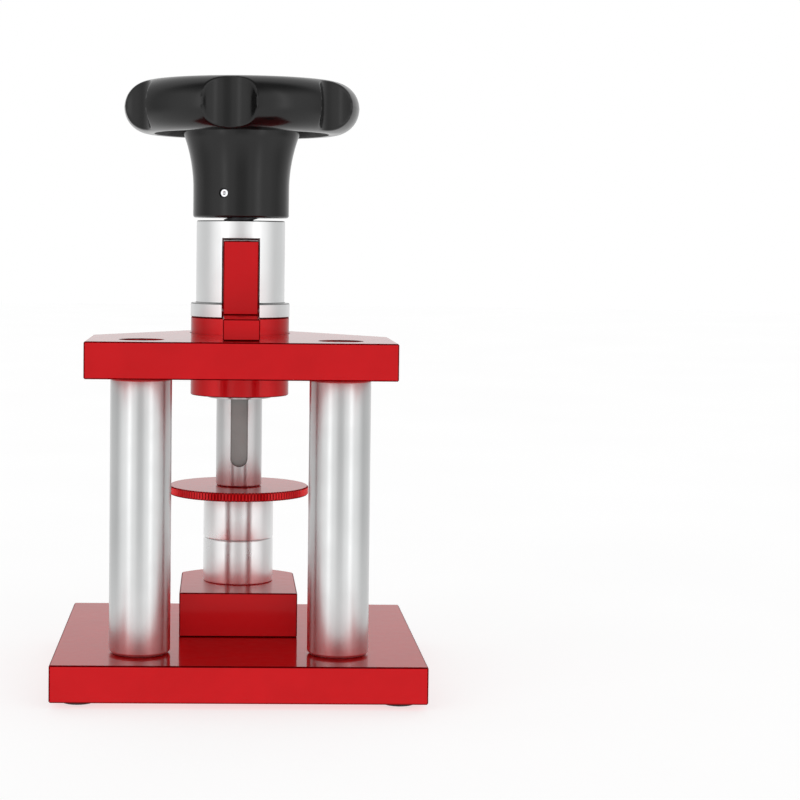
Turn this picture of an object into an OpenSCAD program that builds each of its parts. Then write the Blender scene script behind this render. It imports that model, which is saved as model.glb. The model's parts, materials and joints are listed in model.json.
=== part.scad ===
// Two-column hand press. A handwheel turns a screw that drives a keyed ram
// straight down onto a die holder. Millimetres, +Z up, +X to the right, +Y to
// the rear. The origin is under the centre of the whole outline, on the table.

/* [Base] */
// Width of the base plate, left to right
base_w = 120; // [110:1:140]
// Depth of the base plate, front to rear
base_d = 110; // [104:1:125]
// Thickness of the base plate
base_t = 12; // [12:0.5:16]
// Height of the rubber feet
foot_h = 2; // [1:0.5:4]
// Diameter of the rubber feet
foot_dia = 11; // [8:1:16]

/* [Frame] */
// Diameter of the two columns
column_dia = 20; // [16:1:24]
// Height of the columns between the plates
column_h = 90; // [90:1:120]
// Distance between the column centres
column_gap = 64.6; // [60:0.2:72]
// Distance from the front of the base to the column centres
column_setback = 21.7; // [20:0.1:24]
// Distance from the front of the base to the spindle axis
axis_setback = 75; // [72:1:80]
// Width of the top plate
plate_w = 100; // [92:1:110]
// Thickness of the top plate
plate_t = 12; // [12:0.5:16]
// Length of the straight sides of the top plate
plate_side = 46; // [36:1:50]
// Radius of the rounded rear of the top plate
plate_nose_r = 25; // [23:0.5:28]

/* [Die holders] */
// Width of the anvil block
anvil_w = 40; // [32:1:44]
// Height of the anvil block
anvil_h = 15; // [13:0.5:20]
// Diameter of both die holders
holder_dia = 24.4; // [20:0.2:28]
// Height of each die holder
holder_h = 15.2; // [14:0.1:18]
// Diameter of the threaded die holes
die_hole_dia = 6; // [4:0.5:7]
// Diameter of the knurled disc
disc_dia = 49; // [40:0.5:50]
// Thickness of the knurled disc
disc_t = 3; // [3:0.1:5]

/* [Ram] */
// Diameter of the ram
ram_dia = 16; // [15:0.5:16]
// Travel of the ram
ram_travel = 25; // [10:1:25]
// Width of the keyway in the ram
keyway_w = 6; // [4:0.5:6]
// Depth of the keyway in the ram
keyway_depth = 2.4; // [1.5:0.1:2.4]

/* [Guide and nut] */
// Diameter of the guide bush
bush_dia = 34.4; // [32:0.2:36]
// How far the guide bush hangs below the top plate
bush_below = 9.6; // [6:0.2:12]
// How far the guide bush stands above the top plate
bush_above = 5.6; // [5:0.2:8]
// Diameter of the flange on the nut sleeve
flange_dia = 34.6; // [34:0.2:36]
// Thickness of the flange on the nut sleeve
flange_t = 5; // [5:0.1:6]
// Diameter of the nut sleeve
sleeve_dia = 30.9; // [30:0.1:32]
// Height of the nut sleeve over its flange
sleeve_h = 28.6; // [28.6:0.1:32]
// Diameter of the screw
screw_dia = 12; // [11:0.5:12]

/* [Release lever] */
// Width of the lever
lever_w = 12; // [8:0.5:12]
// Height of the lever's flat arm
lever_arm_h = 6.95; // [6:0.05:7]
// Distance from the front of the top plate to the lever's tip
lever_tip_setback = 11; // [6:0.5:20]
// Swing of the lever, in degrees
lever_swing = 5.5; // [3:0.5:5.5]

/* [Handwheel] */
// Outer diameter of the wheel
wheel_dia = 82; // [78:1:90]
// Thickness of the wheel rim
rim_t = 18.2; // [16:0.2:20]
// Diameter of the hub at its foot
hub_dia = 33.5; // [30:0.5:34]
// Height of the hub below the rim
hub_h = 29; // [28:0.2:34]
// Gap between the hub and the nut sleeve with the ram fully down
hub_gap = 1; // [0.5:0.1:3]
// Number of finger scoops round the rim, always even
scoops = 6; // [4:2:8]
// Radius of each finger scoop
scoop_r = 11.2; // [8:0.2:12]

/* [Hidden] */
$fn = 96;

// Working clearances, measured on the radius
run = 0.05;
seat = 0.02;
face_gap = 0.1;
cut = 1;

// Rim of the wheel: a scoop faces almost straight back, so the wheel reaches
// furthest to the rear at the end of the lobe beside that scoop
wheel_r = wheel_dia / 2;
scoop_at_r = wheel_r - 6 + scoop_r;
scoop_turn = -6.5;
scoop_half = acos((pow(wheel_r, 2) + pow(scoop_at_r, 2) - pow(scoop_r, 2))
                  / (2 * wheel_r * scoop_at_r));
wheel_reach = wheel_r * cos(scoop_half + scoop_turn);

// Places along Y. The rear of the wheel overhangs the base.
front_y = -(axis_setback + wheel_reach) / 2;
axis_y = front_y + axis_setback;
column_y = front_y + column_setback;
plate_front_y = front_y + 6;

// Heights, from the table upwards
base_top = foot_h + base_t;
plate_bottom = base_top + column_h;
plate_top = plate_bottom + plate_t;
anvil_top = base_top + anvil_h;
lower_holder_top = anvil_top + holder_h;
upper_holder_bottom = lower_holder_top + face_gap;
disc_bottom = upper_holder_bottom + holder_h;
disc_top = disc_bottom + disc_t;
ram_bottom = disc_top + face_gap;
bush_bottom = plate_bottom - bush_below;
bush_top = plate_top + bush_above;
ram_top = plate_bottom + 10;
flange_top = bush_top + flange_t;
sleeve_top = flange_top + sleeve_h;
hub_bottom = sleeve_top + hub_gap;
rim_bottom = hub_bottom + hub_h;

// Frame screws: M8 on the columns, M6 on the anvil block
m8_dia = 8;
m8_head_dia = 13;
m8_bore_dia = 14;
m8_bore_depth = 8.5;
m8_len = 16;
m6_dia = 6;
m6_head_dia = 10;
m6_bore_dia = 10.6;
m6_bore_depth = 6.5;
m6_len = 16;
anvil_screw_x = 12;
column_chamfer = 1;
plug_dia = 5;
plug_h = 4;
foot_inset_x = 8.5;
foot_inset_y = 12;

// Anvil block: flat in front, round behind
anvil_front = 28;
anvil_rear_r = 25;
holder_chamfer = 0.3;
stud_dia = 8;
stud_len = 14;
stud_in_anvil = 9;
lower_die_depth = 9.5;
upper_die_depth = 10;
mouth = 0.5;

// Guide: bush, liner and feather key
liner_r = 11;
liner_lip = 1;
spigot_r = 13;
spigot_len = 9.6;
spigot_bottom = bush_top - spigot_len;
key_bottom = plate_bottom - 6;
key_len = 12;
key_outer_r = 13.9;
key_inner_r = ram_dia / 2 - keyway_depth + 0.15;
lock_screw_dia = 5;

// Ram bores and the parts held in them
nose_r = 4;
nose_len = 10;
nose_bottom = ram_top - nose_len;
ball_r = 3;
pin_dia = 2;
pin_len = 12;
pin_z = nose_bottom + 4;
spigot_up = 12;
groove_z = ram_bottom + 5.5;
groove_h = 2.2;
holder_screw_dia = 4;
keyway_lift = 7;
disc_bore_r = 7;

// Quick-release nut inside the sleeve. Its hole is an oval: the round rear
// side carries the thread and the front side stands clear of the screw.
nut_room_r = 11.2;
cap_r = 11.8;
cap_hole_r = 1.2;
nut_room = 7.4;
nut_top_z = sleeve_top - 8.2;
nut_bottom_z = nut_top_z - nut_room;
nut_h = nut_room - 2 * face_gap;
nut_mid_z = nut_top_z - nut_room / 2;
nut_outer_r = nut_room_r - 0.1;
nut_hole_r = screw_dia / 2 + run;
nut_hole_shift = 2.2;
nut_travel = 1.9;
push_pin_r = 3;
push_pin_seat = -nut_outer_r + 1.2;
nut_spring_x = 8;
nut_spring_r = 1.2;
nut_spring_wire = 0.25;
nut_spring_turns = 7;
nut_spring_len = 5.3;
nut_spring_seat = -1;

// Release lever: an angle whose foot lies on the top plate
pivot_ahead = 13;
pivot_y = axis_y - pivot_ahead;
pivot_z = bush_top + flange_t / 2;
pivot_pin_r = 1.25;
pivot_pin_len = 18.8;
heel_r = 2.3;
lever_front_y = axis_y - 20;
lever_back_y = axis_y - sleeve_dia / 2 - run;
lever_top_z = sleeve_top - 7;
lever_foot_z = plate_top + run;
lever_foot_back_y = axis_y - bush_dia / 2 - 0.2;
slot_w = lever_w + 0.4;
slot_back = 12.6;
slot_over = 0.6;
heel_slot_back = 10.3;
heel_slot_top = pivot_z + heel_r + 0.4;
adjuster_dia = 3;
adjuster_ahead = 15;

// Handwheel
rim_r = rim_t / 2;
rim_mid_r = wheel_r - rim_r;
rim_mid_z = rim_bottom + rim_r;
web_top_z = rim_mid_z - 2;
web_bottom_z = rim_bottom + 4;
hub_straight = 9.8;
flare_r = 55;
flare_steps = 8;
insert_r = 8;
shank_r = 5;
shoulder_z = hub_bottom + 1.8;
boss_r = 13;
boss_top_z = rim_mid_z + 1.5;
set_screw_z = hub_bottom + 8.3;
set_screw_turn = -21.7;
set_screw_dia = 3;
washer_t = 1.5;
top_screw_r = 2.5;

module at_axis() {
  translate([0, axis_y, 0]) children();
}

// Cylinder from one height to another on the local Z axis
module bar(r, z0, z1) {
  translate([0, 0, z0]) cylinder(r = r, h = z1 - z0);
}

// Round bar that runs front to rear, between two distances from the origin
module bar_y(r, y0, y1) {
  translate([0, y0, 0]) rotate([-90, 0, 0]) cylinder(r = r, h = y1 - y0);
}

module tube(r_out, r_in, z0, z1) {
  difference() {
    bar(r_out, z0, z1);
    bar(r_in, z0 - cut, z1 + cut);
  }
}

// Straight box between two corners
module block(low, high) {
  translate(low) cube(high - low);
}

// Round bar with a chamfer at both ends
module chamfered_bar(r, z0, z1, c) {
  rotate_extrude()
    polygon([[0, z0], [r - c, z0], [r, z0 + c], [r, z1 - c], [r - c, z1], [0, z1]]);
}

// Socket head screw, head up, with its seat at z = 0
module socket_screw(d, len, head_d, hex_d) {
  difference() {
    union() {
      bar(head_d / 2, 0, d);
      bar(d / 2 - run, -len, 0);
    }
    translate([0, 0, d / 2]) cylinder(d = hex_d, h = d, $fn = 6);
  }
}

// Headless screw with a socket in its top end, from z = 0 up
module grub_screw(d, len, hex_d) {
  difference() {
    bar(d / 2, 0, len);
    translate([0, 0, len - hex_d / 2]) cylinder(d = hex_d, h = len, $fn = 6);
  }
}

module at_columns() {
  for (side = [-1, 1]) translate([side * column_gap / 2, column_y, 0]) children();
}

module at_anvil_screws() {
  for (side = [-1, 1]) translate([side * anvil_screw_x, axis_y, 0]) children();
}

module at_feet() {
  for (x = [-1, 1], y = [0, 1])
    translate([
      x * (base_w / 2 - foot_inset_x),
      front_y + (y == 0 ? foot_inset_y : base_d - foot_inset_y),
      0
    ]) children();
}

// ---- Frame ----

module base_plate() color("crimson") difference() {
  block([-base_w / 2, front_y, foot_h], [base_w / 2, front_y + base_d, base_top]);
  at_columns() {
    bar(m8_dia / 2 + 0.2, 0, base_top + cut);
    bar(m8_bore_dia / 2, 0, foot_h + m8_bore_depth);
  }
  at_anvil_screws() {
    bar(m6_dia / 2 + 0.2, 0, base_top + cut);
    bar(m6_bore_dia / 2, 0, foot_h + m6_bore_depth);
  }
  at_feet() bar(plug_dia / 2, 0, foot_h + plug_h);
}

module base_feet() color("dimgray") at_feet() {
  bar(foot_dia / 2, 0, foot_h);
  bar(plug_dia / 2 - run, foot_h, foot_h + plug_h - 0.5);
}

module base_column_screws() color("gray")
  at_columns() translate([0, 0, foot_h + m8_bore_depth]) mirror([0, 0, 1])
    socket_screw(m8_dia, m8_len, m8_head_dia, 6.9);

module anvil_screws() color("gray")
  at_anvil_screws() translate([0, 0, foot_h + m6_bore_depth]) mirror([0, 0, 1])
    socket_screw(m6_dia, m6_len, m6_head_dia, 5.8);

module column(side) color("silver")
  translate([side * column_gap / 2, column_y, 0]) difference() {
    chamfered_bar(column_dia / 2, base_top, plate_bottom, column_chamfer);
    bar(m8_dia / 2, base_top - cut, base_top + m8_len);
    bar(m8_dia / 2, plate_bottom - m8_len, plate_bottom + cut);
  }

module left_column() column(-1);

module right_column() column(1);

// Half-angle between the axis line and the tangent from the end of the
// straight side to the rear arc, and the point where that tangent touches
side_end = [plate_w / 2, plate_front_y + plate_side];
to_side = side_end - [0, axis_y];
touch_angle = atan2(to_side[1], to_side[0]) + acos(plate_nose_r / norm(to_side));
touch = [plate_nose_r * cos(touch_angle), axis_y + plate_nose_r * sin(touch_angle)];

module plate_outline() {
  polygon([
    [-plate_w / 2, plate_front_y], [plate_w / 2, plate_front_y],
    side_end, touch, [-touch[0], touch[1]], [-side_end[0], side_end[1]]
  ]);
  translate([0, axis_y]) circle(r = plate_nose_r);
}

module top_plate() color("crimson") difference() {
  translate([0, 0, plate_bottom]) linear_extrude(plate_t) plate_outline();
  at_axis() bar(bush_dia / 2 + seat, plate_bottom - cut, plate_top + cut);
  at_columns() {
    bar(m8_dia / 2 + 0.2, plate_bottom - cut, plate_top + cut);
    bar(m8_bore_dia / 2, plate_top - m8_bore_depth, plate_top + cut);
  }
  at_axis() translate([0, 0, plate_bottom + plate_t / 2])
    bar_y(lock_screw_dia / 2, bush_dia / 2, plate_nose_r + cut);
}

module top_column_screws() color("gray")
  at_columns() translate([0, 0, plate_top - m8_bore_depth])
    socket_screw(m8_dia, m8_len - 4, m8_head_dia, 6.9);

module anvil_outline() intersection() {
  translate([-anvil_w / 2, -anvil_front]) square([anvil_w, anvil_front + anvil_rear_r + cut]);
  union() {
    circle(r = anvil_rear_r);
    translate([-anvil_w / 2, -anvil_front]) square([anvil_w, anvil_front]);
  }
}

module anvil_block() color("crimson") at_axis() difference() {
  translate([0, 0, base_top]) linear_extrude(anvil_h) anvil_outline();
  bar(stud_dia / 2, anvil_top - stud_in_anvil - 0.5, anvil_top + cut);
  for (side = [-1, 1]) translate([side * anvil_screw_x, 0, 0])
    bar(m6_dia / 2, base_top - cut, base_top + m6_len - 4);
}

module lower_holder_stud() color("gray") at_axis()
  bar(stud_dia / 2 - run, anvil_top - stud_in_anvil, anvil_top - stud_in_anvil + stud_len);

// Blind die hole that opens upwards at a height, with a countersunk mouth
module die_hole(top, depth) {
  bar(die_hole_dia / 2, top - depth, top + cut);
  translate([0, 0, top - mouth])
    cylinder(r1 = die_hole_dia / 2, r2 = die_hole_dia / 2 + 2 * mouth, h = 2 * mouth);
}

module lower_die_holder() color("silver") at_axis() difference() {
  chamfered_bar(holder_dia / 2, anvil_top, lower_holder_top, holder_chamfer);
  die_hole(lower_holder_top, lower_die_depth);
  bar(stud_dia / 2, anvil_top - cut, anvil_top + stud_len - stud_in_anvil + face_gap);
}

// ---- Guide ----

module key_room() {
  block([-keyway_w / 2, -key_outer_r - seat, key_bottom - seat],
        [keyway_w / 2, 0, key_bottom + key_len + seat]);
}

module guide_bush() color("crimson") at_axis() difference() {
  bar(bush_dia / 2, bush_bottom, bush_top);
  bar(liner_r + seat, bush_bottom - cut, bush_top + cut);
  bar(spigot_r + seat, spigot_bottom, bush_top + cut);
  key_room();
}

module bush_lock_screw() color("gray") at_axis()
  translate([0, bush_dia / 2 + seat, plate_bottom + plate_t / 2]) rotate([-90, 0, 0])
    grub_screw(lock_screw_dia - 2 * run, 6, 2.5);

module bush_liner() color("wheat") at_axis() difference() {
  tube(liner_r, ram_dia / 2 + run, bush_bottom - liner_lip, spigot_bottom);
  key_room();
}

module guide_key() color("gray") at_axis()
  block([-keyway_w / 2 + 0.03, -key_outer_r, key_bottom],
        [keyway_w / 2 - 0.03, -key_inner_r, key_bottom + key_len]);

module nut_sleeve() color("silver") at_axis() difference() {
  union() {
    bar(spigot_r, spigot_bottom, bush_top);
    bar(flange_dia / 2, bush_top, flange_top);
    bar(sleeve_dia / 2, flange_top, sleeve_top);
  }
  bar(ram_dia / 2 + 0.4, spigot_bottom - cut, nut_bottom_z + cut);
  bar(nut_room_r, nut_bottom_z, nut_top_z + cut);
  bar(cap_r + seat, nut_top_z, sleeve_top + cut);
  // Slot that the lever swings into, deeper where its heel turns
  block([-slot_w / 2, -flange_dia, bush_top - seat],
        [slot_w / 2, -slot_back, lever_top_z + slot_over]);
  block([-slot_w / 2, -flange_dia, bush_top - seat],
        [slot_w / 2, -heel_slot_back, heel_slot_top]);
  translate([0, 0, nut_mid_z]) bar_y(push_pin_r + run, -sleeve_dia, -slot_back + nut_room_r / 2);
  translate([-pivot_pin_len / 2, -pivot_ahead, pivot_z]) rotate([0, 90, 0])
    cylinder(r = pivot_pin_r + seat, h = pivot_pin_len);
}

// Threaded cap that shuts the nut in; two holes in its top take a pin wrench
module nut_cap() color("gray") at_axis() difference() {
  tube(cap_r, screw_dia / 2 + run, nut_top_z + seat, sleeve_top);
  for (side = [-1, 1]) translate([side * (cap_r + screw_dia / 2) / 2, 0, 0])
    bar(cap_hole_r, sleeve_top - 3, sleeve_top + cut);
}

module lever_pivot_pin() color("silver")
  translate([-pivot_pin_len / 2 + face_gap, pivot_y, pivot_z]) rotate([0, 90, 0])
    cylinder(r = pivot_pin_r, h = pivot_pin_len - 2 * face_gap);

// ---- Ram ----

module ram() color("silver") at_axis() difference() {
  chamfered_bar(ram_dia / 2, ram_bottom, ram_top, 0.4);
  // Lower bore for the holder, upper bore for the screw's nose
  bar(nose_r + run, ram_bottom - cut, ram_bottom + spigot_up + face_gap);
  bar(nose_r + run, nose_bottom - 2 * ball_r, ram_top + cut);
  // Keyway with a round lower end
  keyway_end = ram_bottom + keyway_lift + keyway_w / 2;
  block([-keyway_w / 2, -ram_dia, keyway_end],
        [keyway_w / 2, -ram_dia / 2 + keyway_depth, ram_top + cut]);
  translate([0, 0, keyway_end])
    bar_y(keyway_w / 2, -ram_dia, -ram_dia / 2 + keyway_depth);
  for (side = [-1, 1]) translate([side * nose_r, 0, pin_z])
    bar_y(pin_dia / 2, -pin_len / 2, pin_len / 2);
  translate([0, 0, groove_z]) bar_y(holder_screw_dia / 2, 0, ram_dia);
}

module thrust_ball() color("silver") at_axis()
  translate([0, 0, nose_bottom - ball_r - seat]) sphere(r = ball_r - seat);

module screw_retaining_pins() color("gray") at_axis()
  for (side = [-1, 1]) translate([side * nose_r, 0, pin_z])
    bar_y(pin_dia / 2 - seat, -pin_len / 2 + face_gap, pin_len / 2 - face_gap);

module holder_retaining_screw() color("gray") at_axis()
  translate([0, 0, groove_z]) {
    bar_y(1, nose_r - 0.8, nose_r + 0.4);
    translate([0, nose_r + 0.4, 0]) rotate([-90, 0, 0])
      grub_screw(holder_screw_dia - 2 * run, 3, 2);
  }

module upper_die_holder() color("silver") at_axis() difference() {
  union() {
    chamfered_bar(holder_dia / 2, upper_holder_bottom, disc_bottom, holder_chamfer);
    bar(disc_bore_r, disc_bottom, disc_top - 0.2);
    bar(nose_r, disc_top - 0.2, ram_bottom + spigot_up);
  }
  mirror([0, 0, 1]) die_hole(-upper_holder_bottom, upper_die_depth);
  tube(nose_r + cut, nose_r - 1, groove_z - groove_h / 2, groove_z + groove_h / 2);
}

module knurled_disc() color("crimson") at_axis() difference() {
  chamfered_bar(disc_dia / 2, disc_bottom, disc_top, holder_chamfer);
  bar(disc_bore_r + seat, disc_bottom - cut, disc_top + cut);
}

// ---- Screw and handwheel ----

module lead_screw() color("dimgray") at_axis() difference() {
  union() {
    bar(nose_r, nose_bottom, ram_top + face_gap);
    bar(screw_dia / 2, ram_top + face_gap, shoulder_z);
    bar(shank_r, shoulder_z, boss_top_z - 1);
  }
  tube(nose_r + cut, nose_r - 1.1, pin_z - groove_h / 2, pin_z + groove_h / 2);
  bar(top_screw_r, boss_top_z - 15, boss_top_z);
}

// Radial bore of the set screw, through the hub and its insert
module set_screw_bore(r) {
  translate([0, 0, set_screw_z]) rotate([0, 0, set_screw_turn])
    bar_y(r, -wheel_r, -shank_r);
}

module wheel_hub_insert() color("gray") at_axis() difference() {
  tube(insert_r, shank_r + seat, shoulder_z + seat, boss_top_z);
  set_screw_bore(set_screw_dia / 2 + run);
}

// Half-section of the wheel from the bore out to the rim's centre line. The
// hub flares out in a wide arc, and the web is sunk into the rim's underside.
function flare(steps = flare_steps) = [
  for (i = [0:steps])
    let (up = (hub_h - hub_straight) * i / steps)
      [hub_dia / 2 + flare_r - sqrt(pow(flare_r, 2) - pow(up, 2)), hub_bottom + hub_straight + up]
];

module wheel_section() {
  polygon(concat(
    [[screw_dia / 2 + 0.4, hub_bottom], [hub_dia / 2, hub_bottom]],
    flare(),
    [[flare()[flare_steps][0], web_bottom_z], [rim_mid_r, web_bottom_z], [rim_mid_r, web_top_z],
     [boss_r, web_top_z], [boss_r - 1, boss_top_z], [insert_r + seat, boss_top_z],
     [insert_r + seat, shoulder_z], [screw_dia / 2 + 0.4, shoulder_z]]
  ));
  translate([rim_mid_r, rim_mid_z]) circle(r = rim_r);
}

module handwheel() color([0.08, 0.08, 0.09]) at_axis() difference() {
  rotate_extrude() wheel_section();
  for (i = [0:scoops - 1]) rotate([0, 0, scoop_turn + i * 360 / scoops])
    translate([0, -scoop_at_r, rim_bottom - cut]) cylinder(r = scoop_r, h = rim_t + 2 * cut);
  set_screw_bore(set_screw_dia / 2 + 0.15);
}

module wheel_set_screw() color("silver") at_axis()
  translate([0, 0, set_screw_z]) rotate([0, 0, set_screw_turn])
    translate([0, -shank_r - seat, 0]) rotate([90, 0, 0])
      grub_screw(set_screw_dia - seat, hub_dia / 2 - shank_r - 0.8, 0.9);

module wheel_washer() color("silver") at_axis()
  tube(boss_r - 3, top_screw_r + 0.2, boss_top_z, boss_top_z + washer_t);

module wheel_top_screw() color("silver") at_axis()
  translate([0, 0, boss_top_z + washer_t]) difference() {
    union() {
      bar(5.25, 0, 3.3);
      bar(top_screw_r - run, -14, 0);
    }
    translate([0, 0, 1.3]) cylinder(d = 4.6, h = 3, $fn = 6);
  }

// ---- Release lever and nut ----

module release_lever() color("crimson") difference() {
  union() {
    block([-lever_w / 2, plate_front_y + lever_tip_setback, lever_foot_z],
          [lever_w / 2, lever_foot_back_y, plate_top + lever_arm_h]);
    block([-lever_w / 2, lever_front_y, lever_foot_z + 2],
          [lever_w / 2, lever_foot_back_y, lever_top_z]);
    block([-lever_w / 2, lever_front_y, pivot_z],
          [lever_w / 2, lever_back_y, lever_top_z]);
    block([-lever_w / 2, lever_front_y, pivot_z - heel_r],
          [lever_w / 2, pivot_y, pivot_z + heel_r]);
    translate([-lever_w / 2, pivot_y, pivot_z]) rotate([0, 90, 0])
      cylinder(r = heel_r, h = lever_w);
  }
  translate([-lever_w, pivot_y, pivot_z]) rotate([0, 90, 0])
    cylinder(r = pivot_pin_r + run, h = 2 * lever_w);
  translate([0, lever_front_y - adjuster_ahead, 0])
    bar(adjuster_dia / 2, plate_top - cut, plate_top + lever_arm_h + cut);
}

module lever_adjusting_screw() color("gray")
  translate([0, lever_front_y - adjuster_ahead, lever_foot_z])
    grub_screw(adjuster_dia - 2 * seat, lever_arm_h - 1, 1.5);

module release_nut() color("goldenrod") at_axis() difference() {
  translate([0, 0, nut_bottom_z + face_gap]) linear_extrude(nut_h) difference() {
    intersection() {
      circle(r = nut_outer_r);
      translate([0, -nut_travel]) circle(r = nut_outer_r);
    }
    circle(r = nut_hole_r);
    translate([0, -nut_hole_shift]) circle(r = nut_hole_r);
    translate([-nut_hole_r, -nut_hole_shift]) square([2 * nut_hole_r, nut_hole_shift]);
  }
  for (side = [-1, 1]) translate([side * nut_spring_x, 0, nut_mid_z])
    bar_y(nut_spring_r + 0.15, nut_spring_seat, nut_room_r);
  translate([0, 0, nut_mid_z]) bar_y(push_pin_r + seat, -nut_room_r, push_pin_seat);
}

module nut_push_pin() color("silver") {
  tip_y = lever_back_y + run;
  dome_r = 8;
  translate([0, 0, nut_mid_z]) intersection() {
    bar_y(push_pin_r, tip_y, axis_y + push_pin_seat - seat);
    translate([0, tip_y + dome_r, 0]) sphere(r = dome_r);
  }
}

module nut_springs() color("gray") at_axis()
  for (side = [-1, 1]) translate([side * nut_spring_x, nut_spring_seat + seat, nut_mid_z])
    rotate([-90, 0, 0]) for (i = [0:nut_spring_turns - 1])
      translate([0, 0, nut_spring_wire + i * (nut_spring_len - 2 * nut_spring_wire)
                       / (nut_spring_turns - 1)])
        rotate_extrude() translate([nut_spring_r - nut_spring_wire, 0])
          circle(r = nut_spring_wire);

base_plate();
base_feet();
base_column_screws();
anvil_screws();
left_column();
right_column();
top_plate();
top_column_screws();
anvil_block();
lower_holder_stud();
lower_die_holder();
guide_bush();
bush_lock_screw();
bush_liner();
guide_key();
nut_sleeve();
nut_cap();
lever_pivot_pin();
ram();
thrust_ball();
screw_retaining_pins();
holder_retaining_screw();
upper_die_holder();
knurled_disc();
lead_screw();
wheel_hub_insert();
handwheel();
wheel_set_screw();
wheel_washer();
wheel_top_screw();
release_lever();
lever_adjusting_screw();
release_nut();
nut_push_pin();
nut_springs();
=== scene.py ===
"""Looks for a two-column hand screw press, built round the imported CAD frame.

Mesh code works in millimetres, in the frame's own axes: +Z up, +X right and
+Y to the rear. Pieces are turned into metres as they are made.
"""

import json
import math

import bmesh
import bpy
from mathutils import Matrix, Vector


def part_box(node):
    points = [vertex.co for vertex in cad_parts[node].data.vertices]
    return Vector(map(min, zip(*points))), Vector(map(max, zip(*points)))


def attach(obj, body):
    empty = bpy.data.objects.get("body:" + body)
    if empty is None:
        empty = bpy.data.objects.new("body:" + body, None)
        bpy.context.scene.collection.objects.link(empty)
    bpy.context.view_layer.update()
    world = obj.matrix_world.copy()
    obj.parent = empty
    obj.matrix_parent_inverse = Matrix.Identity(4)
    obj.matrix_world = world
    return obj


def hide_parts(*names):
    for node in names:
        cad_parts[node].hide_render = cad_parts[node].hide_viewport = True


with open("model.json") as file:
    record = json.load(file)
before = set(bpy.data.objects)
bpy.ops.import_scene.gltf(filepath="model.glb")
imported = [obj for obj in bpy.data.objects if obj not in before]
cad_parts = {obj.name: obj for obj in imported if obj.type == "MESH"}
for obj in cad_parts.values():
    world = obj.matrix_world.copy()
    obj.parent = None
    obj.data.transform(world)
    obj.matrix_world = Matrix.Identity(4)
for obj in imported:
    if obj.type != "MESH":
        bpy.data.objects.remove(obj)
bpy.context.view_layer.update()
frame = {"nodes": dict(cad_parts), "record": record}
MM = 0.001


# ---- Places and sizes, read from the frame ----

BOXES = {node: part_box(node) for node in frame["nodes"]}


def low(node, axis):
    """Lowest coordinate of a CAD node in millimetres, with axis 0, 1 or 2."""
    return BOXES[node][0][axis] / MM


def high(node, axis):
    return BOXES[node][1][axis] / MM


def width(node, axis=0):
    return high(node, axis) - low(node, axis)


AXIS_Y = (low("lower_die_holder", 1) + high("lower_die_holder", 1)) / 2


# ---- Camera ----

CAMERA_AT = (-5.94, -683.69, 147.99)
CAMERA_YAW = 1.058
CAMERA_DOWN = 2.386
CAMERA_ROLL = 0.539
LENS_MM = 90
SENSOR_MM = 36
SHIFT_X = 0.175
SHIFT_Y = -0.09375
NEAREST = 0.01
FARTHEST = 50


def make_camera():
    """Camera of the main view, in front of the press; yaw turns it right and roll is clockwise."""
    yaw = math.radians(CAMERA_YAW)
    down = math.radians(CAMERA_DOWN)
    roll = math.radians(CAMERA_ROLL)
    ahead = Vector((math.sin(yaw) * math.cos(down), math.cos(yaw) * math.cos(down), -math.sin(down)))
    right = Vector((math.cos(yaw), -math.sin(yaw), 0))
    up = right.cross(ahead)
    right, up = (math.cos(roll) * right + math.sin(roll) * up,
                 math.cos(roll) * up - math.sin(roll) * right)
    data = bpy.data.cameras.new("camera")
    data.lens = LENS_MM
    data.sensor_width = SENSOR_MM
    data.shift_x = SHIFT_X
    data.shift_y = SHIFT_Y
    data.clip_start = NEAREST
    data.clip_end = FARTHEST
    camera = bpy.data.objects.new("camera", data)
    bpy.context.scene.collection.objects.link(camera)
    turn = Matrix((right, up, -ahead)).transposed()
    camera.matrix_world = Matrix.Translation(Vector(CAMERA_AT) * MM) @ turn.to_4x4()
    bpy.context.scene.camera = camera


# ---- Materials ----

def new_material(name):
    material = bpy.data.materials.new(name)
    material.use_nodes = True
    tree = material.node_tree
    shader = tree.nodes["Principled BSDF"]
    return material, tree, shader


def add_node(tree, kind, **settings):
    node = tree.nodes.new(kind)
    for key, value in settings.items():
        setattr(node, key, value)
    return node


def noise(tree, scale, stretch=(1, 1, 1), detail=2.0):
    """Noise in object space. Scale is in features per metre before the stretch."""
    where = add_node(tree, "ShaderNodeTexCoord")
    mapping = add_node(tree, "ShaderNodeMapping")
    mapping.inputs["Scale"].default_value = stretch
    texture = add_node(tree, "ShaderNodeTexNoise")
    texture.inputs["Scale"].default_value = scale
    texture.inputs["Detail"].default_value = detail
    tree.links.new(where.outputs["Object"], mapping.inputs["Vector"])
    tree.links.new(mapping.outputs["Vector"], texture.inputs["Vector"])
    return texture.outputs["Fac"]


def spread(tree, source, lowest, highest):
    """Maps a noise's 0.3 to 0.7 onto a range of values."""
    node = add_node(tree, "ShaderNodeMapRange")
    node.inputs["From Min"].default_value = 0.3
    node.inputs["From Max"].default_value = 0.7
    node.inputs["To Min"].default_value = lowest
    node.inputs["To Max"].default_value = highest
    tree.links.new(source, node.inputs["Value"])
    return node.outputs["Result"]


def grey(level):
    return (level, level, level)


def mix(tree, factor, first, second):
    """Blend of two colours, each a tuple or another node's output."""
    node = add_node(tree, "ShaderNodeMix", data_type="RGBA")
    tree.links.new(factor, node.inputs["Factor"])
    for name, colour in (("A", first), ("B", second)):
        if isinstance(colour, tuple):
            node.inputs[name].default_value = (*colour, 1)
        else:
            tree.links.new(colour, node.inputs[name])
    return node.outputs["Result"]


def tint(tree, source, dark, light):
    """Colour between dark and light, by a noise."""
    return mix(tree, spread(tree, source, 0, 1), dark, light)


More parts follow.
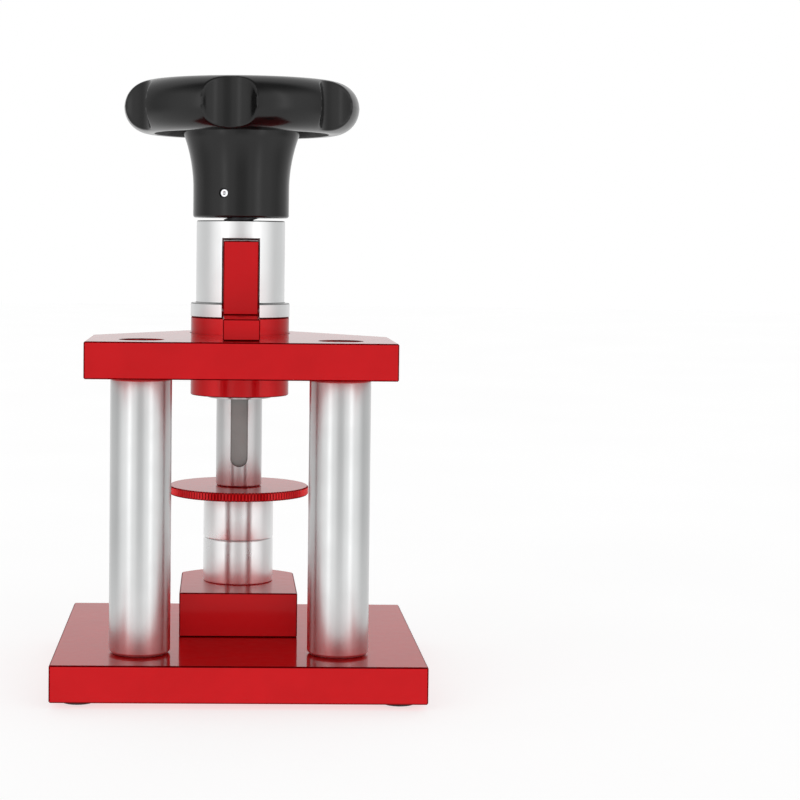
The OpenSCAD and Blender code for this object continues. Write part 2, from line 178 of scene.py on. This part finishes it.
def add_bump(tree, shader, layers):
    """Stacks bumps on a shader, each a (height source, strength, distance in millimetres)."""
    last = None
    for source, strength, distance in layers:
        bump = add_node(tree, "ShaderNodeBump")
        bump.inputs["Strength"].default_value = strength
        bump.inputs["Distance"].default_value = distance * MM
        tree.links.new(source, bump.inputs["Height"])
        if last:
            tree.links.new(last, bump.inputs["Normal"])
        last = bump.outputs["Normal"]
    tree.links.new(last, shader.inputs["Normal"])


def red_anodised(name="red_anodised", dark=(0.66, 0.005, 0.009), light=(0.71, 0.006, 0.011),
                 oxide=1.0):
    """Dyed aluminium with a fine even blast texture under a clear layer of oxide."""
    material, tree, shader = new_material(name)
    shader.inputs["Metallic"].default_value = 1
    shader.inputs["Specular Tint"].default_value = (0.4, 0.05, 0.08, 1)
    tree.links.new(tint(tree, noise(tree, 60, detail=3), dark, light), shader.inputs["Base Color"])
    tree.links.new(spread(tree, noise(tree, 240), 0.40, 0.46), shader.inputs["Roughness"])
    shader.inputs["Coat Weight"].default_value = oxide
    shader.inputs["Coat IOR"].default_value = 1.3
    shader.inputs["Coat Roughness"].default_value = 0.1
    add_bump(tree, shader, [(noise(tree, 3500, detail=1), 0.10, 0.02)])
    return material


def red_edge_painted_shade():
    """Chamfers and knurl roots of red pieces, painted darker than the faces beside them: painted
    shade of the creases and of the dark surround that the chamfers reflect.
    """
    return red_anodised("red_edge_painted_shade", (0.20, 0.002, 0.003), (0.26, 0.002, 0.004), oxide=0.15)


ROUGHNESS_SPREAD = 0.03
LINE_DEPTH = 0.02
# A quarter turn, in the shader's whole turns, lays the smear along the part's axis
ALONG_AXIS = 0.25


def turned_metal(name, dark, light, roughness, line_strength, line_scale=1500, along=(1, 1, 1),
                 rings=0.0):
    """Metal with fine tool lines, which run along the axes where along is small.

    Rings is how much a turned surface smears its reflections along the part's axis.
    """
    material, tree, shader = new_material(name)
    if rings:
        round_axis = add_node(tree, "ShaderNodeTangent", direction_type="RADIAL", axis="Z")
        tree.links.new(round_axis.outputs["Tangent"], shader.inputs["Tangent"])
        shader.inputs["Anisotropic"].default_value = rings
        shader.inputs["Anisotropic Rotation"].default_value = ALONG_AXIS
    shader.inputs["Metallic"].default_value = 1
    tree.links.new(tint(tree, noise(tree, 45), dark, light), shader.inputs["Base Color"])
    uneven = spread(tree, noise(tree, 160, detail=3), roughness - ROUGHNESS_SPREAD,
                    roughness + ROUGHNESS_SPREAD)
    tree.links.new(uneven, shader.inputs["Roughness"])
    add_bump(tree, shader, [(noise(tree, line_scale, along), line_strength, LINE_DEPTH)])
    return material


def ring_ground(name, dark, light, roughness, line_strength, rings):
    """Steel bar with fine rings left by the grinding wheel."""
    return turned_metal(name, dark, light, roughness, line_strength, line_scale=1400,
                        along=(0.03, 0.03, 1), rings=rings)


def polished_steel():
    """Columns."""
    return ring_ground("polished_steel", (0.67, 0.68, 0.68), (0.72, 0.73, 0.73), 0.31, 0.06, 0.82)


def ground_steel():
    """Ram."""
    return ring_ground("ground_steel", grey(0.62), grey(0.66), 0.33, 0.07, 0.86)


def ground_steel_painted_light():
    """Die holders: a lighter copy of the ram's ground steel, painted brighter than the ram as
    painted light.
    """
    return ring_ground("ground_steel_painted_light", grey(0.88), grey(0.93), 0.30, 0.07, 0.86)


def silver_aluminium():
    """Matt natural aluminium with turning marks round it."""
    return turned_metal("silver_aluminium", (0.86, 0.87, 0.87), (0.91, 0.92, 0.92), 0.36, 0.15,
                        line_scale=1800, along=(0.04, 0.04, 1), rings=0.5)


def silver_edge_painted_shade():
    """Chamfers of silver pieces, painted darker than the faces beside them as painted shade."""
    return turned_metal("silver_edge_painted_shade", grey(0.22), grey(0.28), 0.4, 0.1, line_scale=2600,
                        along=(1, 1, 0.02))


def milled_steel_painted_shade():
    """Floor and walls of the keyway, left dull by the cutter and painted darker than the ram as
    painted shade of the groove.
    """
    return turned_metal("milled_steel_painted_shade", (0.30, 0.29, 0.28), (0.38, 0.37, 0.36), 0.5, 0.35,
                        line_scale=1100, along=(0.3, 0.3, 1))


def zinc_steel():
    return turned_metal("zinc_steel", (0.68, 0.69, 0.71), (0.76, 0.77, 0.79), 0.24, 0.10)


def dark_steel():
    """Black oxide with a thin film of oil."""
    return turned_metal("dark_steel", (0.05, 0.05, 0.055), (0.09, 0.09, 0.095), 0.34, 0.15)


def bronze():
    return turned_metal("bronze", (0.55, 0.33, 0.14), (0.66, 0.43, 0.20), 0.3, 0.15,
                        along=(0.1, 0.1, 1))


def black_plastic(name="black_plastic", smoothest=0.13, roughest=0.20, ior=1.43):
    """Moulding, near black, with a very slight unevenness left by the mould."""
    material, tree, shader = new_material(name)
    tree.links.new(tint(tree, noise(tree, 90), grey(0.003), grey(0.005)),
                   shader.inputs["Base Color"])
    tree.links.new(spread(tree, noise(tree, 300, detail=4), smoothest, roughest),
                   shader.inputs["Roughness"])
    shader.inputs["IOR"].default_value = ior
    add_bump(tree, shader, [(noise(tree, 130), 0.06, 0.05), (noise(tree, 2600), 0.05, 0.01)])
    return material


def dull_plastic():
    """Hollow under the wheel's rim, which the mould leaves dull."""
    return black_plastic("dull_plastic", smoothest=0.55, roughest=0.70, ior=1.2)


def foot_rubber():
    material, tree, shader = new_material("foot_rubber")
    tree.links.new(tint(tree, noise(tree, 500), (0.008, 0.008, 0.009), (0.016, 0.016, 0.017)),
                   shader.inputs["Base Color"])
    tree.links.new(spread(tree, noise(tree, 900), 0.6, 0.8), shader.inputs["Roughness"])
    add_bump(tree, shader, [(noise(tree, 2200, detail=4), 0.3, 0.04)])
    return material


MATERIALS = {
    "red_anodised": red_anodised(),
    "silver_aluminium": silver_aluminium(),
    "polished_steel": polished_steel(),
    "ground_steel": ground_steel(),
    "zinc_steel": zinc_steel(),
    "dark_steel": dark_steel(),
    "bronze": bronze(),
    "black_plastic": black_plastic(),
    "foot_rubber": foot_rubber(),
}
# Pieces given a lighter copy of their slot's steel, as painted light
PAINTED_LIGHT_FINISH_OF = dict.fromkeys(("lower_die_holder", "upper_die_holder"), ground_steel_painted_light())
# Second materials, for some faces of a piece; those of the keyway and of the edges are painted shade
KEYWAY_SHADE_MATERIAL = milled_steel_painted_shade()
HOLLOW_MATERIAL = dull_plastic()
EDGE_SHADE_MATERIALS = {"red_anodised": red_edge_painted_shade(), "silver_aluminium": silver_edge_painted_shade()}
SLOT_OF = {part["node"]: part["material_slot"] for part in frame["record"]["subparts"]}
BODY_OF = {node: body for body, nodes in frame["record"]["behaviour"]["bodies"].items()
           for node in nodes}


# ---- Making pieces ----

SHARP_OVER = math.radians(28)
FLAT_UNDER = math.radians(0.6)
# Corners nearer to each other than this, in millimetres, are joined
WELD = 0.001
# Pieces whose chamfers keep their full width beside the short edges of a round hole
UNCLAMPED = ("base_plate", "top_plate", "anvil_block", "release_lever", "guide_bush", "nut_sleeve")


def smooth_by_angle(bm):
    """Smooths all faces and keeps a crisp edge where two meet at more than SHARP_OVER."""
    for face in bm.faces:
        face.smooth = True
    for edge in bm.edges:
        edge.smooth = len(edge.link_faces) == 2 and edge.calc_face_angle(0) < SHARP_OVER


def finish_piece(bm, name, node, materials=()):
    """Makes a piece from a mesh in metres, on the body and slot of the node it stands for."""
    smooth_by_angle(bm)
    mesh = bpy.data.meshes.new(name)
    bm.to_mesh(mesh)
    bm.free()
    piece = bpy.data.objects.new(name, mesh)
    bpy.context.scene.collection.objects.link(piece)
    for material in (PAINTED_LIGHT_FINISH_OF.get(node, MATERIALS[SLOT_OF[node]]), *materials):
        mesh.materials.append(material)
    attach(piece, BODY_OF[node])
    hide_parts(node)


def welded_copy(node):
    """Mesh of a CAD node with its corners joined and its flat faces whole."""
    bm = bmesh.new()
    bm.from_mesh(frame["nodes"][node].data)
    bmesh.ops.remove_doubles(bm, verts=bm.verts, dist=WELD * MM)
    bmesh.ops.dissolve_limit(bm, angle_limit=FLAT_UNDER, verts=bm.verts, edges=bm.edges)
    return bm


def break_edges(bm, chamfer, material=-1, clamp=True):
    """Chamfers all sharp edges; material -1 gives a chamfer the look of the faces beside it."""
    sharp = [edge for edge in bm.edges
             if len(edge.link_faces) == 2 and edge.calc_face_angle(0) > SHARP_OVER]
    bmesh.ops.bevel(bm, geom=sharp, offset=chamfer * MM, offset_type="OFFSET", segments=1,
                    profile=0.5, affect="EDGES", clamp_overlap=clamp, material=material)
    bmesh.ops.remove_doubles(bm, verts=bm.verts, dist=WELD / 2 * MM)


def machined(node, chamfer):
    """Piece with the shape of a CAD node and all its edges broken by a chamfer."""
    bm = welded_copy(node)
    # Chamfers of red and silver pieces take a darker material: painted shade
    edge = EDGE_SHADE_MATERIALS.get(SLOT_OF[node])
    break_edges(bm, chamfer, 1 if edge else -1, node not in UNCLAMPED)
    finish_piece(bm, "cut_" + node, node, [edge] if edge else [])


def lathe(profile, steps, reach=None):
    """Ring of quads from a closed profile of (radius, height), in millimetres.

    reach(radius, height, angle) may pull a point in; angle 0 points to the front.
    """
    bm = bmesh.new()
    rings = []
    for angle in steps:
        ring = []
        for radius, z in profile:
            r = reach(radius, z, angle) if reach else radius
            ring.append(bm.verts.new((r * math.sin(angle) * MM,
                                      (AXIS_Y - r * math.cos(angle)) * MM, z * MM)))
        rings.append(ring)
    for a, b in zip(rings, rings[1:] + rings[:1]):
        for i, corner in enumerate(a):
            j = (i + 1) % len(a)
            bm.faces.new((corner, a[j], b[j], b[i]))
    bmesh.ops.recalc_face_normals(bm, faces=bm.faces)
    return bm


def even_steps(count):
    return [2 * math.pi * i / count for i in range(count)]


def arc(centre, radius, start, end, count):
    """Points on an arc from start to end, in degrees."""
    points = []
    for i in range(count + 1):
        a = math.radians(start + (end - start) * i / count)
        points.append((centre[0] + radius * math.cos(a), centre[1] + radius * math.sin(a)))
    return points


# ---- Handwheel ----

RIM_R = 9.1
RIM_BOTTOM = high("handwheel", 2) - 2 * RIM_R
RIM_MID_R = width("handwheel") / 2 - RIM_R
# The rim's section ends here, in degrees, where it meets the dish on top
RIM_END = 192
# How far the mould's parting line stands proud of the rim
SEAM = 0.05
HUB_R = 16.75
HUB_EDGE = 0.9
HUB_STRAIGHT = 9.8
FLARE_R = 55
# Extra rings of the mesh, this far below the start of the flare
HUB_RINGS = (6, 3)
BORE_R = 6.4
INSERT_R = 8.02
INSERT_SEAT = 1.8
BOSS_R = 13.2
BOSS_EDGE = 1.2
BOSS_RISE = 1.5
DISH_DEPTH = 2
DISH_RINGS = (21, 17, 14.2)
HOLLOW_DEPTH = 4
HOLLOW_EDGE = 1.5
# Faces of the hollow lie between these radii, and this near to its heights
HOLLOW_RADII = (20.5, RIM_MID_R - 1.5)
HOLLOW_SLACK = 0.1
SCOOPS = 6
SCOOP_R = 11.2
SCOOP_DEPTH = 6.0
SCOOP_TURN = math.radians(-6.5)
SCOOP_EDGE = 0.8
# No scoop reaches in past this radius
SCOOP_LIMIT = 25
SET_SCREW_TURN = math.radians(-21.7)
SET_SCREW_HOLE_R = 1.65
SET_SCREW_HOLE_FROM = 7
SET_SCREW_HOLE_TO = 22


def soft_min(a, b, blend):
    """Smaller of two lengths, with the corner between them rounded off."""
    near = max(blend - abs(a - b), 0) / blend
    return min(a, b) - near * near * blend / 4


def handwheel_profile():
    """Section of the wheel: up the hub, along the hollow, round the rim and over the boss."""
    hub_bottom = low("handwheel", 2)
    seat = hub_bottom + INSERT_SEAT
    flare_from = hub_bottom + HUB_STRAIGHT
    flare_end = math.degrees(math.asin((RIM_BOTTOM - flare_from) / FLARE_R))
    hollow_top = RIM_BOTTOM + HOLLOW_DEPTH
    rim_mid_z = RIM_BOTTOM + RIM_R
    rim_start = -180 + math.degrees(math.asin((rim_mid_z - hollow_top) / RIM_R))
    boss_top = rim_mid_z + BOSS_RISE
    profile = [(BORE_R, hub_bottom)]
    profile += arc((HUB_R - HUB_EDGE, hub_bottom + HUB_EDGE), HUB_EDGE, -90, 0, 6)
    profile += [(HUB_R, flare_from - below) for below in HUB_RINGS]
    profile += arc((HUB_R + FLARE_R, flare_from), FLARE_R, 180, 180 - flare_end, 12)
    profile += arc((profile[-1][0] + HOLLOW_EDGE, hollow_top - HOLLOW_EDGE), HOLLOW_EDGE, 180, 90, 6)
    rim = arc((RIM_MID_R, rim_mid_z), RIM_R - SEAM, rim_start, RIM_END, 108)
    seam_at = max(range(len(rim)), key=lambda i: rim[i][0])
    rim[seam_at] = (RIM_MID_R + RIM_R, rim_mid_z)
    profile += rim
    profile += [(r, rim_mid_z - DISH_DEPTH) for r in DISH_RINGS]
    profile += arc((BOSS_R - BOSS_EDGE, boss_top - BOSS_EDGE), BOSS_EDGE, 0, 90, 5)
    profile += [(INSERT_R, boss_top), (INSERT_R, seat), (BORE_R, seat)]
    return profile


def handwheel_steps():
    """Angles round the wheel: close together across each scoop, wider between scoops."""
    pitch = 2 * math.pi / SCOOPS
    dense = math.radians(16)
    fine = 64
    coarse = 12
    steps = []
    for scoop in range(SCOOPS):
        centre = SCOOP_TURN + scoop * pitch
        steps += [centre - dense + 2 * dense * i / fine for i in range(fine)]
        steps += [centre + dense + (pitch - 2 * dense) * i / coarse for i in range(coarse)]
    return steps


def scooped(radius, z, angle):
    """Radius of the wheel after the finger scoops have been cut."""
    pitch = 2 * math.pi / SCOOPS
    centre = width("handwheel") / 2 - SCOOP_DEPTH + SCOOP_R
    off = (angle - SCOOP_TURN + pitch / 2) % pitch - pitch / 2
    inside = SCOOP_R ** 2 - (centre * math.sin(off)) ** 2
    if inside <= 0 or radius < SCOOP_LIMIT:
        return radius
    wall = centre * math.cos(off) - math.sqrt(inside)
    return soft_min(radius, wall, SCOOP_EDGE)


def cylinder_cutter(radius, start, end):
    """Closed cylinder between two points in millimetres, as an object for cut() to use up."""
    bm = bmesh.new()
    line = Vector(end) - Vector(start)
    place = Matrix.Translation((Vector(start) + Vector(end)) / 2 * MM)
    turn = line.to_track_quat("Z", "Y").to_matrix().to_4x4()
    bmesh.ops.create_cone(bm, cap_ends=True, segments=48, radius1=radius * MM, radius2=radius * MM,
                          depth=line.length * MM, matrix=place @ turn)
    mesh = bpy.data.meshes.new("cutter")
    bm.to_mesh(mesh)
    bm.free()
    cutter = bpy.data.objects.new("cutter", mesh)
    bpy.context.scene.collection.objects.link(cutter)
    return cutter


def cut(bm, cutter):
    """Mesh with the cutter's shape taken away; the cutter is then removed."""
    mesh = bpy.data.meshes.new("whole")
    bm.to_mesh(mesh)
    bm.free()
    whole = bpy.data.objects.new("whole", mesh)
    bpy.context.scene.collection.objects.link(whole)
    step = whole.modifiers.new("bore", "BOOLEAN")
    step.operation = "DIFFERENCE"
    step.solver = "EXACT"
    step.object = cutter
    result = bmesh.new()
    bpy.context.view_layer.update()
    result.from_mesh(whole.evaluated_get(bpy.context.evaluated_depsgraph_get()).data)
    for used in (whole, cutter):
        bpy.data.objects.remove(used)
    return result


def set_screw_point(radius, z):
    """Point on the set screw's line, in millimetres."""
    return (radius * math.sin(SET_SCREW_TURN), AXIS_Y - radius * math.cos(SET_SCREW_TURN), z)


def make_handwheel():
    """Moulded wheel with a dull hollow under its rim and a hole for its set screw."""
    bm = lathe(handwheel_profile(), handwheel_steps(), scooped)
    lowest = RIM_BOTTOM - HOLLOW_SLACK
    highest = RIM_BOTTOM + HOLLOW_DEPTH + HOLLOW_SLACK
    for face in bm.faces:
        middle = face.calc_center_median() / MM
        out = math.hypot(middle.x, middle.y - AXIS_Y)
        if lowest < middle.z < highest and HOLLOW_RADII[0] < out < HOLLOW_RADII[1]:
            face.material_index = 1
    screw_z = (low("wheel_set_screw", 2) + high("wheel_set_screw", 2)) / 2
    hole = cylinder_cutter(SET_SCREW_HOLE_R, set_screw_point(SET_SCREW_HOLE_FROM, screw_z),
                           set_screw_point(SET_SCREW_HOLE_TO, screw_z))
    finish_piece(cut(bm, hole), "moulded_handwheel", "handwheel", [HOLLOW_MATERIAL])


# ---- Knurled disc ----

KNURLS = 132
KNURL_DEPTH = 0.32
DISC_CHAMFER = 0.4
DISC_BORE_R = 7.02
DISC_RING_R = 15
# A chamfer's face looks this much up or down: more than a knurl's side, less than a flat face
CHAMFER_TILT = (0.3, 0.95)


def make_knurled_disc():
    """Disc with straight knurls, whose roots and chamfers are painted darker than the rest as
    painted shade.
    """
    radius = width("knurled_disc") / 2
    bottom = low("knurled_disc", 2)
    top = high("knurled_disc", 2)
    inner = radius - DISC_CHAMFER
    profile = [(DISC_BORE_R, bottom), (DISC_RING_R, bottom), (inner, bottom),
               (radius, bottom + DISC_CHAMFER), (radius, top - DISC_CHAMFER),
               (inner, top), (DISC_RING_R, top), (DISC_BORE_R, top)]
    steps = even_steps(4 * KNURLS)
    roots = {angle for i, angle in enumerate(steps) if i % 4 in (2, 3)}

    def groove(r, z, angle):
        return r - KNURL_DEPTH if angle in roots and r > radius - DISC_CHAMFER / 2 else r

    bm = lathe(profile, steps, groove)
    # Knurl roots and chamfers take the darker material: painted shade
    for face in bm.faces:
        middle = face.calc_center_median() / MM
        out = math.hypot(middle.x, middle.y - AXIS_Y)
        in_root = abs(radius - KNURL_DEPTH - out) < KNURL_DEPTH / 10
        chamfered = out > inner and CHAMFER_TILT[0] < abs(face.normal.z) < CHAMFER_TILT[1]
        face.material_index = 1 if in_root or chamfered else 0
    finish_piece(bm, "cut_knurled_disc", "knurled_disc", [EDGE_SHADE_MATERIALS["red_anodised"]])


# ---- Screw ----

LEAD = 3.0
THREAD_DEPTH = 1.6
TURN_STEPS = 48
# Where a groove's floor ends and a crest starts and ends, in parts of the lead
GROOVE_END = 0.34
CREST_START = 0.5
CREST_END = 0.84
NOSE_R = 4
SHANK_R = 5
SCREW_CORE_R = 2.5
SCREW_EDGE = 0.4
# The thread stands clear of the ram, and the plain ends run a little into it
THREAD_GAP = 0.1
END_OVERLAP = 0.1
# Smallest radius of a solid turned end, at its axis
CENTRE_R = 0.01


def threaded_rod(radius, bottom, top):
    """Right-hand trapezoidal thread, one strip of quads wound up the rod and cut to length."""
    rise = LEAD / TURN_STEPS
    root_r = radius - THREAD_DEPTH
    section = [(0, root_r), (GROOVE_END * LEAD, root_r), (CREST_START * LEAD, radius),
               (CREST_END * LEAD, radius)]
    # Wound past both ends, which are then cut flat
    turns = math.ceil((top - bottom) / LEAD) + 3
    bm = bmesh.new()
    columns = []
    for i in range(turns * TURN_STEPS + 1):
        angle = 2 * math.pi * i / TURN_STEPS
        z = bottom - 1.5 * LEAD + rise * i
        column = []
        for up, r in section:
            place = Vector((r * math.cos(angle), AXIS_Y + r * math.sin(angle), z + up))
            column.append(bm.verts.new(place * MM))
        columns.append(column)
    for a, b in zip(columns, columns[1:]):
        for k in range(len(section) - 1):
            bm.faces.new((a[k], b[k], b[k + 1], a[k + 1]))
    # The slope from each crest down to the groove of the next turn
    for a, b, c, d in zip(columns, columns[1:], columns[TURN_STEPS:], columns[TURN_STEPS + 1:]):
        bm.faces.new((a[-1], b[-1], d[0], c[0]))
    for height, direction in ((bottom, -1), (top, 1)):
        everything = [*bm.verts, *bm.edges, *bm.faces]
        bmesh.ops.bisect_plane(bm, geom=everything, plane_co=(0, 0, height * MM),
                               plane_no=(0, 0, direction), clear_outer=True)
    rims = [edge for edge in bm.edges if len(edge.link_faces) == 1]
    bmesh.ops.holes_fill(bm, edges=rims, sides=0)
    bmesh.ops.recalc_face_normals(bm, faces=bm.faces)
    return bm


def make_lead_screw():
    """Threaded length, with the plain nose and shank of the CAD screw kept at its ends."""
    bottom = low("lead_screw", 2)
    top = high("lead_screw", 2)
    thread_bottom = high("ram", 2) + THREAD_GAP
    thread_top = low("wheel_hub_insert", 2)
    bm = threaded_rod(width("lead_screw") / 2, thread_bottom, thread_top)
    nose_top = thread_bottom + END_OVERLAP
    nose = lathe([(CENTRE_R, bottom), (NOSE_R - SCREW_EDGE, bottom), (NOSE_R, bottom + SCREW_EDGE),
                  (NOSE_R, nose_top), (CENTRE_R, nose_top)], even_steps(48))
    shank_bottom = thread_top - END_OVERLAP
    shank = lathe([(SCREW_CORE_R, shank_bottom), (SHANK_R, shank_bottom),
                   (SHANK_R, top - SCREW_EDGE), (SHANK_R - SCREW_EDGE, top),
                   (SCREW_CORE_R, top)], even_steps(64))
    for end in (nose, shank):
        mesh = bpy.data.meshes.new("screw_end")
        end.to_mesh(mesh)
        end.free()
        bm.from_mesh(mesh)
    finish_piece(bm, "cut_lead_screw", "lead_screw")


# ---- Ram ----

RAM_CHAMFER = 0.15
# The keyway's faces, which get the painted shade: in front, clear of the ram's foot, near the middle
# and under the surface
KEYWAY_ABOVE_FOOT = 6
KEYWAY_HALF_WIDTH = 3.2
KEYWAY_LEAST_DEPTH = 0.1
NEARLY_LEVEL = 0.999


def make_ram():
    """Ram whose keyway floor and walls keep a milled finish, painted darker than the ram as painted
    shade of the groove.
    """
    bm = welded_copy("ram")
    break_edges(bm, RAM_CHAMFER)
    radius = width("ram") / 2
    for face in bm.faces:
        spot = face.calc_center_median() / MM
        depth = radius - math.hypot(spot.x, spot.y - AXIS_Y)
        in_front = spot.y < AXIS_Y - radius / 2 and abs(spot.x) < KEYWAY_HALF_WIDTH
        above_foot = spot.z > low("ram", 2) + KEYWAY_ABOVE_FOOT
        upright = abs(face.normal.z) < NEARLY_LEVEL
        if in_front and above_foot and upright and depth > KEYWAY_LEAST_DEPTH:
            face.material_index = 1
    finish_piece(bm, "cut_ram", "ram", [KEYWAY_SHADE_MATERIAL])


# ---- Springs ----

def make_nut_springs():
    """Two coil springs, each one wire wound from end to end."""
    wire = 0.25
    turns = 6.5
    per_turn = 20
    sides = 8
    coil_r = width("nut_springs", 2) / 2 - wire
    start_y = low("nut_springs", 1) + wire
    length = width("nut_springs", 1) - 2 * wire
    middle_z = (low("nut_springs", 2) + high("nut_springs", 2)) / 2
    middle_x = high("nut_springs", 0) - coil_r - wire
    bm = bmesh.new()
    for side in (-1, 1):
        rings = []
        for i in range(int(turns * per_turn) + 1):
            a = 2 * math.pi * i / per_turn
            along = start_y + length * i / (turns * per_turn)
            outward = Vector((math.cos(a), 0, math.sin(a)))
            centre = Vector((side * middle_x, along, middle_z)) + coil_r * outward
            ring = []
            for b in even_steps(sides):
                around = math.cos(b) * outward + Vector((0, math.sin(b), 0))
                ring.append(bm.verts.new((centre + wire * around) * MM))
            rings.append(ring)
        for a, b in zip(rings, rings[1:]):
            for s in range(sides):
                t = (s + 1) % sides
                bm.faces.new((a[s], a[t], b[t], b[s]))
        bm.faces.new(rings[0])
        bm.faces.new(rings[-1])
    bmesh.ops.recalc_face_normals(bm, faces=bm.faces)
    finish_piece(bm, "wound_nut_springs", "nut_springs")


# ---- Stage ----

# Brightness round the horizon, by the angle in degrees from the front
HORIZON = (
    (0, 0.65), (9, 0.70), (18, 1.02), (30, 1.10), (36, 1.42), (41, 1.75), (46, 1.42), (52, 1.14),
    (62, 1.08), (72, 0.98), (81, 0.80), (90, 0.66), (96, 0.58), (110, 0.64), (130, 0.67),
    (148, 0.78), (180, 0.84),
)
OVERHEAD_FRONT = 0.22
OVERHEAD_REAR = 0.90
BELOW = 1.1
# Where each change starts and ends, as part of a direction's full length
FRONT_TO_REAR = (-0.1, 0.3)
HORIZON_TO_TOP = (0.45, 0.97)
HORIZON_TO_BELOW = (-0.2, -0.6)


def calculate(tree, operation, *values):
    """Result of a maths node, whose inputs are numbers or other nodes' outputs."""
    node = add_node(tree, "ShaderNodeMath", operation=operation)
    for socket, value in zip(node.inputs, values):
        if isinstance(value, (int, float)):
            socket.default_value = value
        else:
            tree.links.new(value, socket)
    return node.outputs[0]


def ease(tree, source, between, lowest=0, highest=1):
    """Goes smoothly from lowest to highest as the source crosses a stretch of its values."""
    node = add_node(tree, "ShaderNodeMapRange", interpolation_type="SMOOTHSTEP")
    node.inputs["From Min"].default_value = between[0]
    node.inputs["From Max"].default_value = between[1]
    node.inputs["To Min"].default_value = lowest
    node.inputs["To Max"].default_value = highest
    tree.links.new(source, node.inputs["Value"])
    return node.outputs["Result"]


def horizon_light(tree, direction):
    """Brightness by the angle from the front, the same on the left as on the right."""
    across = calculate(tree, "ABSOLUTE", direction.outputs["X"])
    ahead = calculate(tree, "MULTIPLY", direction.outputs["Y"], -1)
    half_turns = calculate(tree, "DIVIDE", calculate(tree, "ARCTAN2", across, ahead), math.pi)
    ramp = add_node(tree, "ShaderNodeValToRGB")
    stops = ramp.color_ramp.elements
    while len(stops) < len(HORIZON):
        stops.new(0.5)
    for stop, (angle, level) in zip(stops, HORIZON):
        stop.position = angle / 180
        stop.color = (*grey(level), 1)
    tree.links.new(half_turns, ramp.inputs["Fac"])
    return ramp.outputs["Color"]


def make_world():
    """Studio surround, which changes round the horizon, overhead and below."""
    world = bpy.data.worlds.new("studio")
    world.use_nodes = True
    bpy.context.scene.world = world
    tree = world.node_tree
    where = add_node(tree, "ShaderNodeTexCoord")
    direction = add_node(tree, "ShaderNodeSeparateXYZ")
    tree.links.new(where.outputs["Generated"], direction.inputs["Vector"])
    overhead = ease(tree, direction.outputs["Y"], FRONT_TO_REAR, OVERHEAD_FRONT, OVERHEAD_REAR)
    upward = ease(tree, direction.outputs["Z"], HORIZON_TO_TOP)
    downward = ease(tree, direction.outputs["Z"], HORIZON_TO_BELOW)
    dome = mix(tree, upward, horizon_light(tree, direction), overhead)
    surround = tree.nodes["Background"]
    tree.links.new(mix(tree, downward, dome, grey(BELOW)), surround.inputs["Color"])
    # The background itself is plain white; only light and reflections see the surround
    plain = add_node(tree, "ShaderNodeBackground")
    plain.inputs["Color"].default_value = (1, 1, 1, 1)
    seen = add_node(tree, "ShaderNodeLightPath")
    choose = add_node(tree, "ShaderNodeMixShader")
    tree.links.new(seen.outputs["Is Camera Ray"], choose.inputs["Fac"])
    tree.links.new(surround.outputs["Background"], choose.inputs[1])
    tree.links.new(plain.outputs["Background"], choose.inputs[2])
    tree.links.new(choose.outputs["Shader"], tree.nodes["World Output"].inputs["Surface"])


# Radius of the floor, in metres, and the light that it gives off
FLOOR_R = 4
FLOOR_GLOW = 0.66


def make_floor():
    """Pale floor with a little light of its own, so that it runs into the white background."""
    bm = bmesh.new()
    bmesh.ops.create_circle(bm, cap_ends=True, segments=96, radius=FLOOR_R)
    mesh = bpy.data.meshes.new("floor")
    bm.to_mesh(mesh)
    bm.free()
    floor = bpy.data.objects.new("floor", mesh)
    bpy.context.scene.collection.objects.link(floor)
    material, tree, shader = new_material("floor_paper")
    tree.links.new(tint(tree, noise(tree, 6), grey(0.47), grey(0.49)), shader.inputs["Base Color"])
    shader.inputs["Roughness"].default_value = 0.9
    shader.inputs["Specular IOR Level"].default_value = 0
    shader.inputs["Emission Color"].default_value = (1, 1, 1, 1)
    shader.inputs["Emission Strength"].default_value = FLOOR_GLOW
    mesh.materials.append(material)
    # Reflections see the studio's surround on all sides, and not the floor
    floor.visible_glossy = False


# ---- The press ----

# Chamfer of each machined piece, in millimetres
CHAMFERS = {
    "base_plate": 0.45, "top_plate": 0.4, "anvil_block": 0.4, "release_lever": 0.35,
    "guide_bush": 0.3, "nut_sleeve": 0.35, "nut_cap": 0.3, "bush_liner": 0.25,
    "left_column": 0.12, "right_column": 0.12,
    "lower_die_holder": 0.1, "upper_die_holder": 0.1,
    "base_column_screws": 0.35, "anvil_screws": 0.3, "top_column_screws": 0.35,
    "base_feet": 0.2, "wheel_hub_insert": 0.3, "wheel_washer": 0.25, "wheel_top_screw": 0.3,
    "wheel_set_screw": 0.3, "bush_lock_screw": 0.2, "holder_retaining_screw": 0.15,
    "lever_adjusting_screw": 0.15, "lower_holder_stud": 0.4, "guide_key": 0.3,
    "lever_pivot_pin": 0.2, "screw_retaining_pins": 0.2, "release_nut": 0.2, "nut_push_pin": 0.1,
}


def dress_plain_nodes(nodes):
    """CAD nodes that keep their own mesh get their slot's material."""
    for node in nodes:
        cad = frame["nodes"][node]
        cad.data.materials.clear()
        cad.data.materials.append(MATERIALS[SLOT_OF[node]])


make_camera()
make_world()
make_floor()
for node, chamfer in CHAMFERS.items():
    machined(node, chamfer)
make_ram()
make_handwheel()
make_knurled_disc()
make_lead_screw()
make_nut_springs()
dress_plain_nodes(["thrust_ball"])

scene = bpy.context.scene
scene.view_settings.view_transform = "Standard"
scene.view_settings.look = "None"
